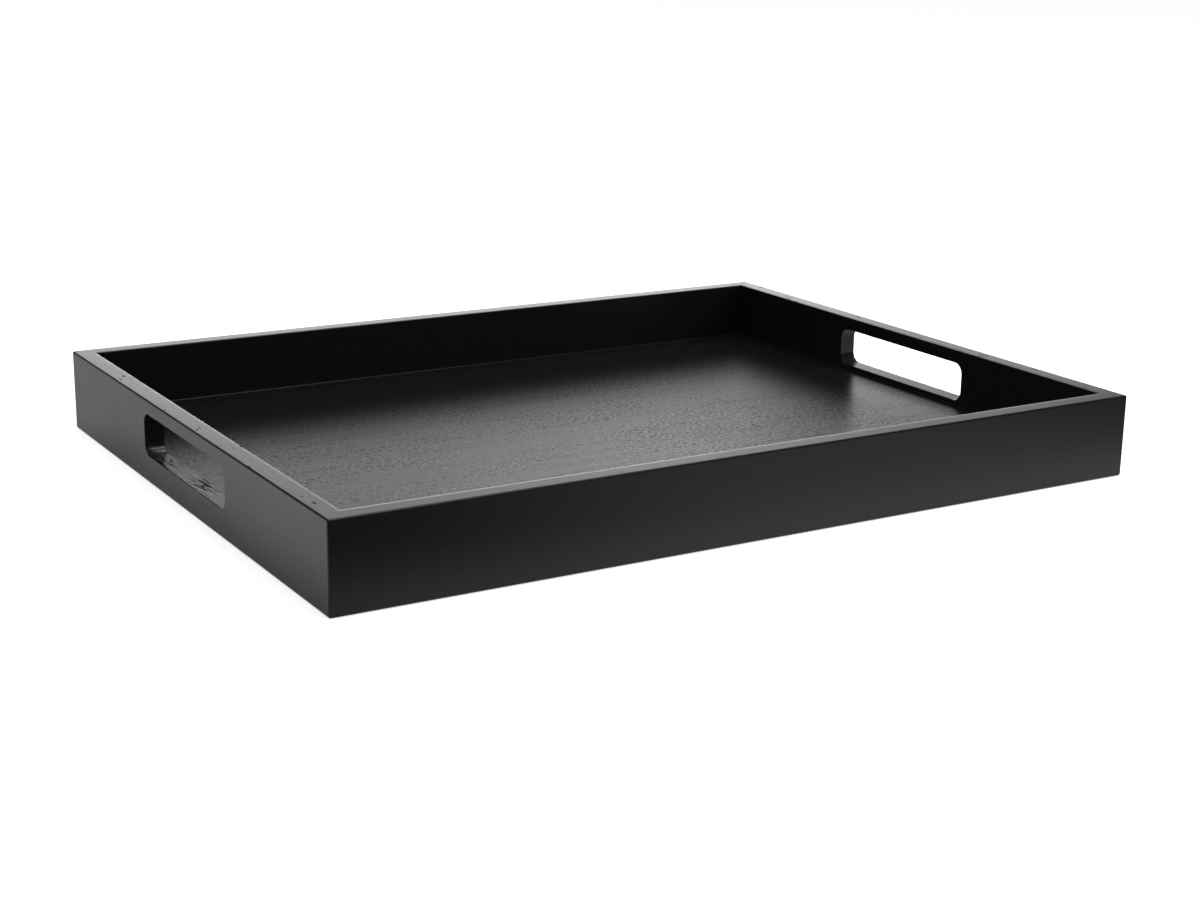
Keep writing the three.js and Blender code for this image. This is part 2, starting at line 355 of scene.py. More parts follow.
@dataclass(frozen=True)
class BlackLacquer:
    """Pigmented black lacquer over wood whose pores show through it. It starts as the rails' own.

    Pores, streaks and ripples are counted for each metre along the grain and across it.
    """

    name: str
    grain: Grain
    film: float
    pore_share: float
    colour: Colour = tone(0.0055, LACQUER_TINT)
    # Lighter colour on eased edges and beads: partly rubbed wear, partly a painted highlight.
    rubbed_and_highlit_colour: Colour = tone(0.012)
    roughness: Pair = (0.28, 0.33)
    specular: float = 0.02
    film_roughness: float = 0.305
    film_breaks: float = 0.8
    film_streaks: float = 0.1
    film_mottle: float = 0.06
    mottle_span: Pair = (0.42, 0.58)
    mottle_levels: Pair = (0.3, 1.45)
    pores: Pair = (110.0, 260.0)
    pore_size: float = 0.55
    pored_faces: PoredFaces = PoredFaces.UPPER
    upper_rise: Pair = (0.8, 0.98)
    pore_depth: float = 0.07 * MM
    pore_dulling: float = 0.15
    streaks: Pair = (9.0, 420.0)
    streak_depth: float = 0.002 * MM
    ripples: Pair = (260.0, 260.0)
    ripple_depth: float = 0.005 * MM

    def make(self, effects: Effects) -> Material:
        """The finish as a material.

        Args:
            effects: The shared node groups.

        Returns:
            The new material.
        """
        material, wires = new_material(self.name)
        place = wires.grain_place(self.grain)
        vessels = (*self.pores, self.pore_size, self.pore_share)
        pores = wires.effect(effects.open_pores, place, *vessels)["Pores"]
        if self.pored_faces is PoredFaces.UPPER:
            normal = wires.add("NewGeometry")["Normal"]
            rise = wires.add("SeparateXYZ", normal)["Z"]
            pores = wires.product(pores, wires.step(rise, self.upper_rise))
        streak = wires.effect(effects.fibre_streaks, place, *self.streaks)["Streak"]
        film = wires.effect(effects.lacquer_film, place, *self.ripples)
        # The colour turns lighter along edges and beads: rubbed wear and a painted highlight.
        rub_and_highlight = wires.effect(effects.rubbed_and_highlit_edges, place)["Rub and highlight"]

        sheen = wires.step(film["Cloud"], CLOUD_SPAN, self.roughness)
        broken = wires.product(pores, -self.film_breaks)
        streaked = wires.product(streak, self.film_streaks)
        patches = wires.step(film["Cloud"], self.mottle_span, self.mottle_levels)
        swing = wires.math("SUBTRACT", film["Ripple"], NOISE_MEAN)
        mottled = wires.product(swing, patches, self.film_mottle)
        sunk = wires.product(pores, -self.pore_depth)
        raised = wires.product(streak, self.streak_depth)
        rippled = wires.product(film["Ripple"], self.ripple_depth)
        wires.surface({
            "Base Color": wires.blend(rub_and_highlight, self.colour, self.rubbed_and_highlit_colour),
            "Roughness": wires.total(sheen, wires.product(pores, self.pore_dulling)),
            "Specular IOR Level": self.specular,
            "Coat Weight": wires.total(streaked, mottled, self.film, broken),
            "Coat Roughness": self.film_roughness,
            "Normal": wires.relief(wires.total(sunk, raised, rippled)),
        })
        return material


@dataclass(frozen=True)
class RawWood:
    """Bare wood: brown streaks along the grain, darker pores, no film. Its counts are as for lacquer."""

    name: str
    grain: Grain
    pale: Colour
    dark: Colour
    pore_colour: Colour
    roughness: Pair = (0.68, 0.88)
    streaks: Pair = (25.0, 700.0)
    streak_span: Pair = (-0.3, 0.3)
    streak_depth: float = 0.04 * MM
    pores: Pair = (300.0, 1500.0)
    pore_size: float = 0.35
    pore_share: float = 0.7
    pore_depth: float = 0.05 * MM

    def make(self, effects: Effects) -> Material:
        """The finish as a material.

        Args:
            effects: The shared node groups.

        Returns:
            The new material.
        """
        material, wires = new_material(self.name)
        place = wires.grain_place(self.grain)
        streak = wires.effect(effects.fibre_streaks, place, *self.streaks)["Streak"]
        vessels = (*self.pores, self.pore_size, self.pore_share)
        pores = wires.effect(effects.open_pores, place, *vessels)["Pores"]
        wood = wires.blend(wires.step(streak, self.streak_span), self.pale, self.dark)
        raised = wires.product(streak, self.streak_depth)
        sunk = wires.product(pores, -self.pore_depth)
        wires.surface({
            "Base Color": wires.blend(pores, wood, self.pore_colour),
            "Roughness": wires.step(streak, self.streak_span, self.roughness),
            "Normal": wires.relief(wires.total(raised, sunk)),
        })
        return material


@dataclass(frozen=True)
class DrawnWire:
    """Bright drawn steel with a fine tooth and spots of tarnish."""

    name: str
    bright: Colour
    tarnish: Colour
    roughness: Pair = (0.24, 0.42)
    spots: Drift = Drift(scale=900.0, layers=4.0, span=(0.5, 0.7))
    teeth: float = 6000.0
    tooth_layers: float = 2.0
    tooth_depth: float = 0.004 * MM

    def make(self, effects: Effects) -> Material:
        """The finish as a material.

        Args:
            effects: The shared node groups.

        Returns:
            The new material.
        """
        material, wires = new_material(self.name)
        place = wires.grain_place(Grain.ALONG_X)
        cloud = wires.effect(effects.lacquer_film, place)["Cloud"]
        tooth = wires.noise(place, self.tooth_layers, self.teeth)
        wires.surface({
            "Base Color": wires.blend(self.spots.over(wires, place), self.bright, self.tarnish),
            "Roughness": wires.step(cloud, CLOUD_SPAN, self.roughness),
            "Metallic": 1.0,
            "Normal": wires.relief(wires.product(tooth, self.tooth_depth)),
        })
        return material


def in_scene(name: str, data: bpy.types.ID) -> Thing:
    """Puts a mesh, a lamp or a camera into the scene.

    Args:
        name: The object's name.
        data: What the object shows.

    Returns:
        The new object.
    """
    thing = bpy.data.objects.new(name, data)
    bpy.context.scene.collection.objects.link(thing)
    return thing


def shown_piece(name: str, shape: Shape, materials: Sequence[Material]) -> Thing:
    """Turns a finished shape into a piece of the tray.

    Args:
        name: The piece's name.
        shape: The closed shape, which is used up.
        materials: The finishes that the shape's faces refer to by number.

    Returns:
        The new piece.
    """
    mesh = bpy.data.meshes.new(name)
    bmesh.ops.recalc_face_normals(shape, faces=shape.faces)
    shape.to_mesh(mesh)
    shape.free()
    for material in materials:
        mesh.materials.append(material)
    return in_scene(name, mesh)


def shade_smooth(piece: Thing, crease: float) -> None:
    """Rounds a piece's shading, apart from edges that turn by more than the crease, in radians."""
    piece.data.shade_smooth()
    piece.data.set_sharp_from_angle(angle=crease)


def stand_for(piece: Thing, node: str) -> None:
    """Puts a piece in the place of a solid.

    Args:
        piece: The piece that is shown.
        node: The solid that it stands for.
    """
    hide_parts(node)
    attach(piece, BODY)
    LOG.info("%s stands for %s, with %d faces", piece.name, node, len(piece.data.polygons))


def dress_solid(node: str, material: Material) -> None:
    """Gives a solid that keeps its shape a finish.

    Args:
        node: The solid's name.
        material: Its finish.
    """
    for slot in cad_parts[node].material_slots:
        slot.material = material
    LOG.info("%s keeps its solid, finished in %s", node, material.name)


def eased(radius: float, steps: int) -> Iterator[Triple]:
    """The steps of a rounded edge, from one face to the next.

    Args:
        radius: The edge's radius.
        steps: How many facets it has.

    Yields:
        Depth under the first face, set-back from the second one, and how far into the round the step is,
        from 0 at either face to 1 midway.
    """
    for step in range(steps + 1):
        turn = QUARTER_TURN * step / steps
        yield radius * (1 - math.cos(turn)), radius * (1 - math.sin(turn)), math.sin(2 * turn)


@dataclass
class HandSlot:
    """The routed opening that fingers go through, in the middle of an end rail."""

    sill_height: float
    top_height: float
    lacquer: BlackLacquer
    length: float = 128 * MM
    corner_radius: float = 7 * MM
    arris_radius: float = 0.4 * MM
    arris_steps: int = 4
    corner_steps: int = 12
    sill_steps: int = 76
    side_steps: int = 8
    depth_steps: int = 22
    fuzz_depth: float = 0.4 * MM
    fuzz_along: float = 14 * MM
    fuzz_across: float = 1.3 * MM
    torn_length: float = 28 * MM
    torn_evenly: float = 0.3
    torn_in_patches: float = 1.5
    fine_fuzz: float = 0.5
    fine_length: float = 0.45

    def outline(self, flare: float) -> list[Pair]:
        """Points round the slot, from the middle of its sill.

        Args:
            flare: How far the outline is set out from the slot's own walls.

        Returns:
            The points as distance from the slot's middle and height.
        """
        reach = self.length / 2 - self.corner_radius
        low = self.sill_height + self.corner_radius
        high = self.top_height - self.corner_radius
        radius = self.corner_radius + flare
        runs = [reach * step / self.sill_steps for step in range(self.sill_steps)]
        rises = [(high - low) * step / self.side_steps for step in range(1, self.side_steps)]
        turns = [QUARTER_TURN * step / self.corner_steps for step in range(self.corner_steps + 1)]
        half = [(run, low - radius) for run in runs]
        half += [(reach + radius * math.sin(turn), low - radius * math.cos(turn)) for turn in turns]
        half += [(reach + radius, low + rise) for rise in rises]
        half += [(reach + radius * math.cos(turn), high + radius * math.sin(turn)) for turn in turns]
        half += [(run, high + radius) for run in reversed(runs)]
        return [(-distance, height) for distance, height in half] + half[-2:0:-1]

    def rings(self, thickness: float) -> Iterator[Triple]:
        """The rings that the slot's wall runs through, from the outer face to the inner one.

        Args:
            thickness: The rail's thickness.

        Yields:
            Depth under the outer face, flare, and how far into an eased edge the ring is.
        """
        edge = list(eased(self.arris_radius, self.arris_steps))
        yield from edge
        straight = thickness - 2 * self.arris_radius
        for step in range(1, self.depth_steps):
            yield self.arris_radius + straight * step / self.depth_steps, 0.0, 0.0
        for depth, flare, share in reversed(edge):
            yield thickness - depth, flare, share

    def fuzz(self, point: Vector, distance: float, flare: float) -> float:
        """The lacquered wood fuzz that the router leaves on the straight runs.

        Args:
            point: Where on the slot's wall.
            distance: How far that is from the slot's middle, because the round ends were cut clean.
            flare: The wall's flare there, because the eased edges were sanded clean.

        Returns:
            How far the wall is pushed back, as a share of the fuzz's depth.
        """
        run = self.length / 2 - self.corner_radius - abs(distance)
        share = min(1.0, max(0.0, run / self.corner_radius)) * (1 - flare / self.arris_radius)
        spread = Vector((point.x / self.fuzz_across, point.y / self.fuzz_along, point.z / self.fuzz_across))
        torn = max(0.0, self.torn_evenly + self.torn_in_patches * noise.noise(point / self.torn_length))
        ridges = noise.noise(spread) + self.fine_fuzz * noise.noise(spread / self.fine_length)
        return share * torn * ridges


@dataclass
class Rail:
    """One side of the frame, in its own plan: along the outer face from a corner, and inwards."""

    name: str
    start: Vector
    along: Vector
    inward: Vector
    length: float
    lacquer: BlackLacquer
    slot: HandSlot | None
    joint_bead: float
    thickness: float
    height: float
    groove_low: float
    groove_high: float
    panel_top: float
    groove_depth: float = 6 * MM
    outer_round: float = 1.1 * MM
    inner_round: float = 0.4 * MM
    roll_width: float = 2.0 * MM
    roll_drop: float = 0.1 * MM
    corner_radius: float = 1.4 * MM
    bead_radius: float = 0.7 * MM
    joint_gap: float = 0.02 * MM
    arris_steps: int = 8
    roll_steps: int = 6
    corner_steps: int = 6
    bead_steps: int = 4

    def spot(self, along: float, inward: float, height: float) -> Vector:
        """A point of the rail's plan in the tray's frame."""
        return self.start + self.along * along + self.inward * inward + Vector((0, 0, height))

    def run(self, centre: float, radius: float, steps: int) -> list[Triple]:
        """A line along the rail, from mitre to mitre, with half of a rounded corner at each end.

        Args:
            centre: How far the corner's centre lies from the outer face and from the rail's end.
            radius: The corner's radius.
            steps: How many facets half of a corner has.

        Returns:
            Points as distance along, distance inwards, and how far into a corner, from 0 to 1.
        """
        near = []
        for step in reversed(range(steps + 1)):
            share = step / steps
            turn = EIGHTH_TURN * share
            near.append((centre - radius * math.sin(turn), centre - radius * math.cos(turn), share))
        far = [(self.length - along, inward, share) for along, inward, share in reversed(near)]
        return near + [(self.length / 2, centre - radius, 0.0)] + far

    def outer_run(self, inset: float) -> list[Triple]:
        """A line along the outer skin, that far inside the outer face, round both upright corners."""
        return self.run(self.corner_radius, self.corner_radius - inset, self.corner_steps)

    def inner_run(self, depth: float) -> list[Triple]:
        """A line along the inner skin, that far inside the outer face, with a bead in both corners."""
        return self.run(depth + self.bead_radius, self.bead_radius, self.bead_steps)

    def outer_lines(self) -> list[Triple]:
        """The lines of the outer skin, from the underside round to the rim.

        Returns:
            Each line's inset from the outer face, its height, and how far into an eased edge it is.
        """
        edge = list(eased(self.outer_round, self.arris_steps))
        low = [(inset, depth, share) for depth, inset, share in edge]
        high = [(inset, self.height - depth, share) for depth, inset, share in reversed(edge)]
        return low + high

    def inner_lines(self) -> list[Triple]:
        """The lines of the inner skin, from the rim down through the groove to the underside.

        Returns:
            Each line's depth under the outer face, its height, and how far into an eased edge it is.
        """
        edge = list(eased(self.inner_round, self.arris_steps))
        back = self.thickness - self.groove_depth
        high = []
        for step in range(self.roll_steps):
            share = step / self.roll_steps
            depth = self.thickness - self.inner_round - self.roll_width * (1 - share)
            high.append((depth, self.height - self.roll_drop * share**2, 0.0))
        lip = self.height - self.roll_drop
        high += [(self.thickness - inset, lip - depth, share) for depth, inset, share in edge]
        bead = eased(self.joint_bead, self.bead_steps)
        toe = self.panel_top + self.joint_gap
        groove = [(self.thickness + out, toe + rise, share) for out, rise, share in bead]
        groove += [
            (back, self.groove_high, 0.0),
            (back, self.groove_low, 0.0),
            (self.thickness, self.groove_low, 0.0),
        ]
        low = [(self.thickness - inset, depth, share) for depth, inset, share in reversed(edge)]
        return high + groove + low

    def build(self, materials: Sequence[Material]) -> Thing:
        """Makes the rail's mesh.

        Args:
            materials: The lacquer of its faces and, if it has a slot, the lacquer of the slot's wall.

        Returns:
            The new piece.
        """
        shape = bmesh.new()
        easing = shape.verts.layers.float.new(ARRIS_ATTRIBUTE)
        shares: list[float] = []

        def corner(along: float, inward: float, height: float, share: float) -> Corner:
            """A corner of the mesh, with a note of how far into an eased edge it is."""
            shares.append(share)
            return shape.verts.new(self.spot(along, inward, height))

        def skin(lines: list[Triple], run: Callable[[float], list[Triple]]) -> list[Line]:
            """The corners of one skin, line by line."""
            return [
                [corner(along, inward, height, max(share, turn)) for along, inward, turn in run(depth)]
                for depth, height, share in lines
            ]

        outer = skin(self.outer_lines(), self.outer_run)
        inner = skin(self.inner_lines(), self.inner_run)
        openings = []
        for lines, opened, start in (
            (outer, self.arris_steps, self.corner_steps),
            (inner, self.roll_steps + self.arris_steps, self.bead_steps),
        ):
            for row, (first, second) in enumerate(zip(lines, lines[1:])):
                for column in range(len(first) - 1):
                    if self.slot and row == opened and column in (start, start + 1):
                        continue
                    shape.faces.new((first[column], first[column + 1], second[column + 1], second[column]))
            openings.append([line[start : start + 3] for line in lines[opened : opened + 2]])
        outer_middle, inner_middle = self.corner_steps + 1, self.bead_steps + 1
        for outer_line, inner_line in ((outer[-1], inner[0]), (outer[0], inner[-1])):
            shape.faces.new(outer_line[: outer_middle + 1] + inner_line[inner_middle::-1])
            shape.faces.new(outer_line[outer_middle:] + inner_line[: inner_middle - 1 : -1])
        for end in (0, -1):
            shape.faces.new([line[end] for line in outer + inner])
        if self.slot:
            rings = self.cut_slot(shape, corner)
            outer_edges, inner_edges = openings
            self.open_face(shape, rings[0], *outer_edges)
            self.open_face(shape, rings[-1], *reversed(inner_edges))
        # The arris share also lightens the lacquer along edges, beads and corners: rubbed wear and a painted
        # highlight.
        for vert, share in zip(shape.verts, shares):
            vert[easing] = share
        return shown_piece(self.name, shape, materials)

    def cut_slot(self, shape: Shape, corner: Callable[[float, float, float, float], Corner]) -> list[Line]:
        """Adds the slot's wall.

        Args:
            shape: The mesh so far.
            corner: The function that makes a corner of the mesh.

        Returns:
            The rings of the wall, from the outer face to the inner one.
        """
        middle = self.length / 2
        rings = []
        for depth, flare, share in self.slot.rings(self.thickness):
            walls = zip(self.slot.outline(flare), self.slot.outline(flare + self.slot.fuzz_depth))
            ring = []
            for (distance, height), (far_distance, far_height) in walls:
                push = self.slot.fuzz(self.spot(middle + distance, depth, height), distance, flare)
                along = middle + distance + (far_distance - distance) * push
                ring.append(corner(along, depth, height + (far_height - height) * push, share))
            rings.append(ring)
        for near, far in zip(rings, rings[1:]):
            for index in range(len(near)):
                after = (index + 1) % len(near)
                face = shape.faces.new((near[index], near[after], far[after], far[index]))
                face.material_index = SLOT_LINING
        return rings

    @staticmethod
    def open_face(shape: Shape, ring: Line, low: Line, high: Line) -> None:
        """Fills a flat face round the slot, in two halves.

        Args:
            shape: The mesh so far.
            ring: The slot's edge in this face, from the middle of the sill.
            low: The face's lower edge, by its start, middle and end.
            high: The face's upper edge, likewise.
        """
        top = len(ring) // 2
        shape.faces.new([low[0], low[1]] + ring[: top + 1] + [high[1], high[0]])
        shape.faces.new([low[2], high[2], high[1]] + ring[top:] + [ring[0], low[1]])


@dataclass
class RailFrame:
    """The four mitred rails."""

    # The rails wear copies of one lacquer whose film weights differ, so that each reflects as brightly as
    # the light falls on it there: the right rail's higher film is a painted sheen.
    long_lacquer: BlackLacquer = BlackLacquer("long_rail_lacquer", Grain.ALONG_X, 0.75, pore_share=0.0)
    left_lacquer: BlackLacquer = BlackLacquer("left_rail_lacquer", Grain.ALONG_Y, 0.77, pore_share=0.5)
    right_lacquer: BlackLacquer = BlackLacquer("right_rail_lacquer", Grain.ALONG_Y, 0.92, pore_share=0.5)
    clean_lacquer: BlackLacquer = BlackLacquer("clean_slot_lacquer", Grain.ALONG_Y, 0.76, pore_share=0.0)
    torn_lacquer: BlackLacquer = BlackLacquer(
        "torn_slot_lacquer",
        Grain.ALONG_Y,
        film=0.78,
        pore_share=0.0,
        film_roughness=0.23,
        film_streaks=0.45,
        streaks=(45.0, 900.0),
        streak_depth=0.05 * MM,
    )
    sill: float = 3.5 * MM
    grip_bar: float = 8.5 * MM
    groove_clearance: float = 0.15 * MM
    clean_fuzz: float = 0.04 * MM
    long_bead: float = 0.45 * MM
    end_bead: float = 0.2 * MM
    crease: float = math.radians(32)

    def rails(self) -> Iterator[Rail]:
        """The rails, each from its own corner, with sizes from the solids.

        Yields:
            Each rail.
        """
        low, high = CAD_BOX
        front_low, front_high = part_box("front_rail")
        panel_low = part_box("base_under_veneer")[0].z
        panel_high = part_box("base_top_veneer")[1].z
        across = {
            "thickness": front_high.y - front_low.y,
            "height": high.z,
            "groove_low": panel_low - self.groove_clearance,
            "groove_high": panel_high + self.groove_clearance,
            "panel_top": panel_high,
        }
        torn_slot = HandSlot(panel_high + self.sill, high.z - self.grip_bar, self.torn_lacquer)
        clean_slot = replace(torn_slot, lacquer=self.clean_lacquer, fuzz_depth=self.clean_fuzz)
        right, back = Vector((1, 0, 0)), Vector((0, 1, 0))
        length, width = high.x - low.x, high.y - low.y
        corners = (
            ("front", low.x, low.y, right, back, length, self.long_lacquer, None),
            ("right_end", high.x, low.y, back, -right, width, self.right_lacquer, clean_slot),
            ("back", high.x, high.y, -right, -back, length, self.long_lacquer, None),
            ("left_end", low.x, high.y, -back, right, width, self.left_lacquer, torn_slot),
        )
        for side, x, y, along, inward, run, lacquer, opening in corners:
            name = f"{side}_rail_lacquered"
            bead = self.end_bead if opening else self.long_bead
            yield Rail(name, Vector((x, y, 0)), along, inward, run, lacquer, opening, bead, **across)

    def build(self, effects: Effects) -> None:
        """Makes, finishes and places the four rails.

        Args:
            effects: The shared node groups.
        """
        rail_lacquers = (self.long_lacquer, self.left_lacquer, self.right_lacquer)
        slot_lacquers = (self.torn_lacquer, self.clean_lacquer)
        finishes = {lacquer: lacquer.make(effects) for lacquer in rail_lacquers + slot_lacquers}
        for rail in self.rails():
            worn = (rail.lacquer, rail.slot.lacquer) if rail.slot else (rail.lacquer,)
            piece = rail.build([finishes[lacquer] for lacquer in worn])
            shade_smooth(piece, self.crease)
            flat = piece.modifiers.new("flat_faces", "WEIGHTED_NORMAL")
            flat.mode = "FACE_AREA"
            flat.keep_sharp = True
            stand_for(piece, rail.name.removesuffix("_lacquered"))


@dataclass
class BasePanel:
    """The three-layer base in the rails' groove, with its open-pored face up."""

    face: BlackLacquer = BlackLacquer(
        "base_lacquer",
        Grain.ALONG_X,
        film=0.93,
        pore_share=1.0,
        colour=tone(0.005, LACQUER_TINT),
        # Lighter along the joint bead: partly rubbed wear, partly a painted highlight.
        rubbed_and_highlit_colour=tone(0.02),
        roughness=(0.285, 0.325),
        film_roughness=0.276,
        film_breaks=0.5,
        film_streaks=0.45,
        film_mottle=1.9,
        pores=(400.0, 1000.0),
        pore_size=0.5,
        pored_faces=PoredFaces.ALL,
        pore_depth=0.008 * MM,
        pore_dulling=0.08,
        streaks=(14.0, 700.0),
        streak_depth=0.004 * MM,
        ripples=(400.0, 620.0),
        ripple_depth=0.006 * MM,
    )
    core: RawWood = RawWood(
        "core_wood",
        Grain.ALONG_Y,
        pale=(0.42, 0.27, 0.14, 1.0),
        dark=(0.27, 0.15, 0.07, 1.0),
        pore_colour=(0.12, 0.06, 0.03, 1.0),
    )
    cell: float = 5 * MM
    swell_depth: float = 0.05 * MM
    swell_length: float = 90 * MM
    still_margin: float = 25 * MM

    def swell(self, x: float, y: float, low: Vector, high: Vector) -> float:
        """How far the veneer's face moves with the board under it.

        Args:
            x: Place along the tray.
            y: Place across the tray.
            low: The veneer's lowest corner.
            high: The veneer's highest corner.

        Returns:
            The change of height, which fades to nothing at the groove.
        """
        edge = min(x - low.x, high.x - x, y - low.y, high.y - y)
        share = min(1.0, max(0.0, edge / self.still_margin))
        wave = noise.noise(Vector((x, y, 0.0)) / self.swell_length)
        return self.swell_depth * share * wave

    def build_face(self, material: Material) -> Thing:
        """Makes the top veneer's mesh.

        Args:
            material: The veneer's finish.

        Returns:
            The new piece.
        """
        low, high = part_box("base_top_veneer")
        columns = round((high.x - low.x) / self.cell)
        rows = round((high.y - low.y) / self.cell)
        xs = [low.x + (high.x - low.x) * column / columns for column in range(columns + 1)]
        ys = [low.y + (high.y - low.y) * row / rows for row in range(rows + 1)]
        shape = bmesh.new()
        grid = [[shape.verts.new((x, y, high.z + self.swell(x, y, low, high))) for x in xs] for y in ys]
        for near, far in zip(grid, grid[1:]):
            for column in range(columns):
                shape.faces.new((near[column], near[column + 1], far[column + 1], far[column]))
        rim = grid[0][:-1] + [line[-1] for line in grid[:-1]]
        rim += list(reversed(grid[-1][1:])) + [line[0] for line in reversed(grid[1:])]
        foot = [shape.verts.new((vert.co.x, vert.co.y, low.z)) for vert in rim]
        for index, vert in enumerate(rim):
            after = (index + 1) % len(rim)
            shape.faces.new((vert, foot[index], foot[after], rim[after]))
        shape.faces.new(foot)
        return shown_piece("base_face_lacquered", shape, (material,))

    def build(self, effects: Effects) -> None:
        """Makes the face veneer and finishes the layers under it.

        Args:
            effects: The shared node groups.
        """
        veneer = self.face.make(effects)
        piece = self.build_face(veneer)
        shade_smooth(piece, EIGHTH_TURN)
        stand_for(piece, "base_top_veneer")
        dress_solid("base_under_veneer", veneer)
        dress_solid("base_core", self.core.make(effects))


@dataclass
class CornerJoints:
    """The biscuits and brad pins inside the mitres."""

    beech: RawWood = RawWood(
        "pressed_beech",
        Grain.UPRIGHT,
        pale=(0.62, 0.4, 0.2, 1.0),
        dark=(0.46, 0.27, 0.12, 1.0),
        pore_colour=(0.22, 0.1, 0.04, 1.0),
    )
    wire: DrawnWire = DrawnWire(
        "brad_wire", bright=(0.56, 0.57, 0.59, 1.0), tarnish=(0.3, 0.27, 0.24, 1.0)
    )
    corners: tuple[str, ...] = ("front_left", "front_right", "back_right", "back_left")

    def build(self, effects: Effects) -> None:
        """Finishes the joints' solids.

        Args:
            effects: The shared node groups.
        """
        biscuit = self.beech.make(effects)
        pin = self.wire.make(effects)
        for corner in self.corners:
            dress_solid(f"{corner}_biscuit", biscuit)
            dress_solid(f"{corner}_lower_pin", pin)
            dress_solid(f"{corner}_upper_pin", pin)


@dataclass(frozen=True)
class SoftWindow:
    """A bright part of the studio's wall.

    Its edges fade over spans: headings in degrees from +Y towards +X, and heights in metres.
    """

    glow: float
    left: Pair
    right: Pair
    top: Pair
    bottom: Pair = (-0.2, -0.1)

    def light(self, wires: Wiring, heading: Feed, height: Feed) -> Socket:
        """The window's light over the wall.

        Args:
            wires: The wall's shader.
            heading: The heading of a point of the wall, in degrees.
            height: Its height.

        Returns:
            The light's socket.
        """
        across = wires.product(wires.step(heading, self.left), wires.step(heading, self.right, FALLING))
        upward = wires.product(wires.step(height, self.bottom), wires.step(height, self.top, FALLING))
        return wires.product(across, upward, self.glow)


@dataclass(frozen=True)
class TableCard:
    """The table as reflections see it: a pool of painted light that fades in front of the tray, and a
    painted shadow of the tray at its foot.

    A span is a pair of places on an axis. The tones in a pair are those at its two ends.
    """

    front_span: Pair = (-0.305, -0.2)
    rightward_span: Pair = (-0.2, 0.09)
    spent_span: Pair = (0.2, 0.4)
    near_span: Pair = (-0.32, 0.05)
    near_front: Pair = (0.52, 1.03)
    far_front: Pair = (0.0, 0.61)
    spent: float = 0.18
    side_span: Pair = (-0.32, -0.25)
    foot_shadow_span: Pair = (0.12, 0.24)
    out_span: Pair = (-0.1, 0.3)
    # The foot's tones are a painted shadow of the tray beside its left side, darker next to it.
    foot: Pair = (0.3, 0.59)
    out: Pair = (0.97, 0.71)
    elsewhere: float = 0.71
    front_edge: Pair = (-0.21, -0.19)
    left_edge: Pair = (-0.25, -0.23)

    def make(self) -> Material:
        """The card as a material, which glows and takes no light.

        Returns:
            The new material.
        """
        material, wires = new_material("table_card")
        axes = wires.object_axes()

        def fade(axis: str, span: Pair, first: Socket | float, second: Socket | float) -> Socket:
            """Fades from one tone to another over a span of an axis."""
            ends = (tone(end, SHEEN_TINT) if isinstance(end, float) else end for end in (first, second))
            return wires.blend(wires.step(axes[axis], span), *ends)

        far = fade("X", self.spent_span, fade("X", self.rightward_span, *self.far_front), self.spent)
        front = fade("Y", self.front_span, far, fade("X", self.near_span, *self.near_front))
        out = fade("Y", self.out_span, *self.out)
        left = fade("X", self.side_span, out, fade("Y", self.foot_shadow_span, *self.foot))
        beside = fade("X", self.left_edge, left, self.elsewhere)
        wires.surface({
            "Base Color": tone(0.0),
            "Roughness": 1.0,
            "Specular IOR Level": 0.0,
            "Emission Color": fade("Y", self.front_edge, front, beside),
            "Emission Strength": 1.0,
        })
        return material


@dataclass(frozen=True)
class Softbox:
    """A rectangular soft lamp that points at the tray."""

    name: str
    power: float
    size: Pair
    place: Triple
    reflected: bool = True

    def hang(self) -> None:
        """Adds the lamp to the scene."""
        light = bpy.data.lights.new(self.name, "AREA")
        light.shape = "RECTANGLE"
        light.size, light.size_y = self.size
        light.energy = self.power
        lamp = in_scene(self.name, light)
        lamp.location = self.place
        lamp.visible_glossy = self.reflected
        lamp.rotation_mode = "QUATERNION"
        lamp.rotation_quaternion = (-Vector(self.place)).to_track_quat("-Z", "Y")


